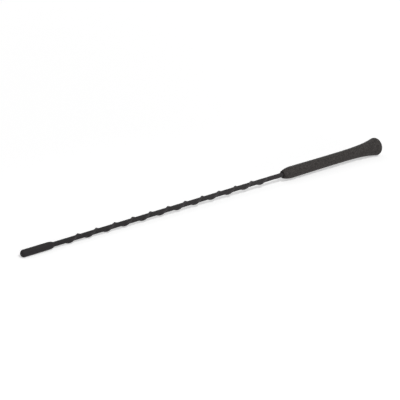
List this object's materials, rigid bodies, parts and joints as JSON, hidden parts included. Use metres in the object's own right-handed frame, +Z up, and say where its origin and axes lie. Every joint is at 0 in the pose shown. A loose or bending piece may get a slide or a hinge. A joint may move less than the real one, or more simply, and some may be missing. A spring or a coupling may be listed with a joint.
{
  "type": "car mast aerial",
  "caption": "Ribbed whip aerial for a car roof, with a tip cap, a grip that flares into a foot, and a threaded stud in a recess.",
  "frame": {"origin": "on the surface that the aerial lies on, under the middle of its box", "axes": "+X along the aerial towards the foot, +Z up. The aerial's own axis rises 0.74 degrees towards the foot, as it lies on the foot's rim and the cap's edge."},
  "size_m": [0.41, 0.017, 0.017],
  "materials": {
    "glass_fibre": "resin bonded glass fibre",
    "copper_wire": "enamelled copper",
    "rib_cord": "plain",
    "sleeve": "satin black",
    "cap": "fine grained matte black",
    "grip": "fine grained matte black",
    "ferrule": "turned",
    "stud": "plated"
  },
  "bodies": {
    "root": {"core_rod": "glass_fibre", "radiator_wire": "copper_wire", "rib_cord": "rib_cord", "ribbed_sleeve": "sleeve", "tip_cap": "cap", "grip": "grip", "rod_ferrule": "ferrule", "threaded_stud": "stud"}
  },
  "joints": []
}
